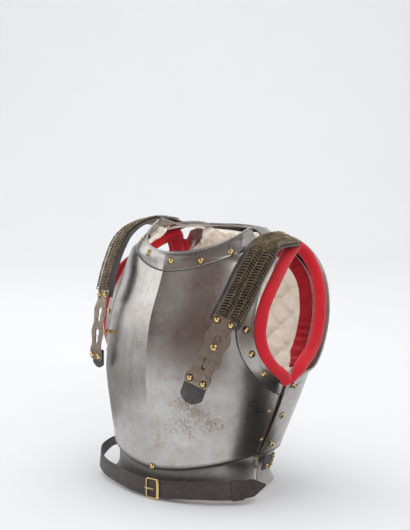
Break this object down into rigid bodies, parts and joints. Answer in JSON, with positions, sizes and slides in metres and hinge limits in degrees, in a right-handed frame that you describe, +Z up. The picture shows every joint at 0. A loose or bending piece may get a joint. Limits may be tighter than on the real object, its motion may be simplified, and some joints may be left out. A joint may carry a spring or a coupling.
{
  "type": "cavalry cuirass",
  "caption": "Steel breastplate and backplate with quilted lining, red arm rolls, brass chain shoulder straps with slotted end plates, and a waist belt.",
  "frame": {"origin": "on the ground under the middle of the cuirass's bounding box", "axes": "+Z up, -Y towards the front of the breastplate, +X towards the wearer's left"},
  "size_m": [0.3736, 0.3168, 0.442],
  "materials": {
    "steel_plate": "worn satin, freckled with light rust",
    "bright_brass": "polished",
    "tarnished_brass": "tarnished",
    "red_cloth": "matt wool cloth",
    "quilted_linen": "quilted, creased linen",
    "dark_leather": "worn satin"
  },
  "bodies": {
    "root": {"back_arm_roll_left": "red_cloth", "back_arm_roll_right": "red_cloth", "back_facing_left": "red_cloth", "back_facing_right": "red_cloth", "back_lining": "quilted_linen", "backplate": "steel_plate", "belt_buckle": "bright_brass", "belt_keeper": "dark_leather", "belt_patch": "dark_leather", "belt_prong": "bright_brass", "belt_short_strap": "dark_leather", "belt_strap": "dark_leather", "breast_arm_roll_left": "red_cloth", "breast_arm_roll_right": "red_cloth", "breast_lining": "quilted_linen", "breast_stud_left": "bright_brass", "breast_stud_right": "bright_brass", "breastplate": "steel_plate", "rivet_back_side_left_1": "bright_brass", "rivet_back_side_left_2": "bright_brass", "rivet_back_side_left_3": "bright_brass", "rivet_back_side_right_1": "bright_brass", "rivet_back_side_right_2": "bright_brass", "rivet_back_side_right_3": "bright_brass", "rivet_belt_patch_1": "bright_brass", "rivet_belt_patch_2": "bright_brass", "rivet_belt_patch_3": "bright_brass", "rivet_belt_strap": "bright_brass", "rivet_breast_arm_left_1": "bright_brass", "rivet_breast_arm_left_2": "bright_brass", "rivet_breast_arm_left_3": "bright_brass", "rivet_breast_arm_right_1": "bright_brass", "rivet_breast_arm_right_2": "bright_brass", "rivet_breast_arm_right_3": "bright_brass", "rivet_neck_1": "bright_brass", "rivet_neck_2": "bright_brass", "rivet_neck_3": "bright_brass", "rivet_neck_4": "bright_brass", "rivet_neck_5": "bright_brass", "rivet_plate_left_1": "bright_brass", "rivet_plate_left_2": "bright_brass", "rivet_plate_left_3": "bright_brass", "rivet_plate_left_4": "bright_brass", "rivet_plate_right_1": "bright_brass", "rivet_plate_right_2": "bright_brass", "rivet_plate_right_3": "bright_brass", "rivet_plate_right_4": "bright_brass", "rivet_ridge": "bright_brass", "rivet_strap_end_left_1": "bright_brass", "rivet_strap_end_left_2": "bright_brass", "rivet_strap_end_right_1": "bright_brass", "rivet_strap_end_right_2": "bright_brass", "strap_chain_left": "tarnished_brass", "strap_chain_right": "tarnished_brass", "strap_leather_left": "dark_leather", "strap_leather_right": "dark_leather", "strap_plate_left": "tarnished_brass", "strap_plate_right": "tarnished_brass", "strap_tip_left": "dark_leather", "strap_tip_right": "dark_leather"}
  },
  "joints": []
}
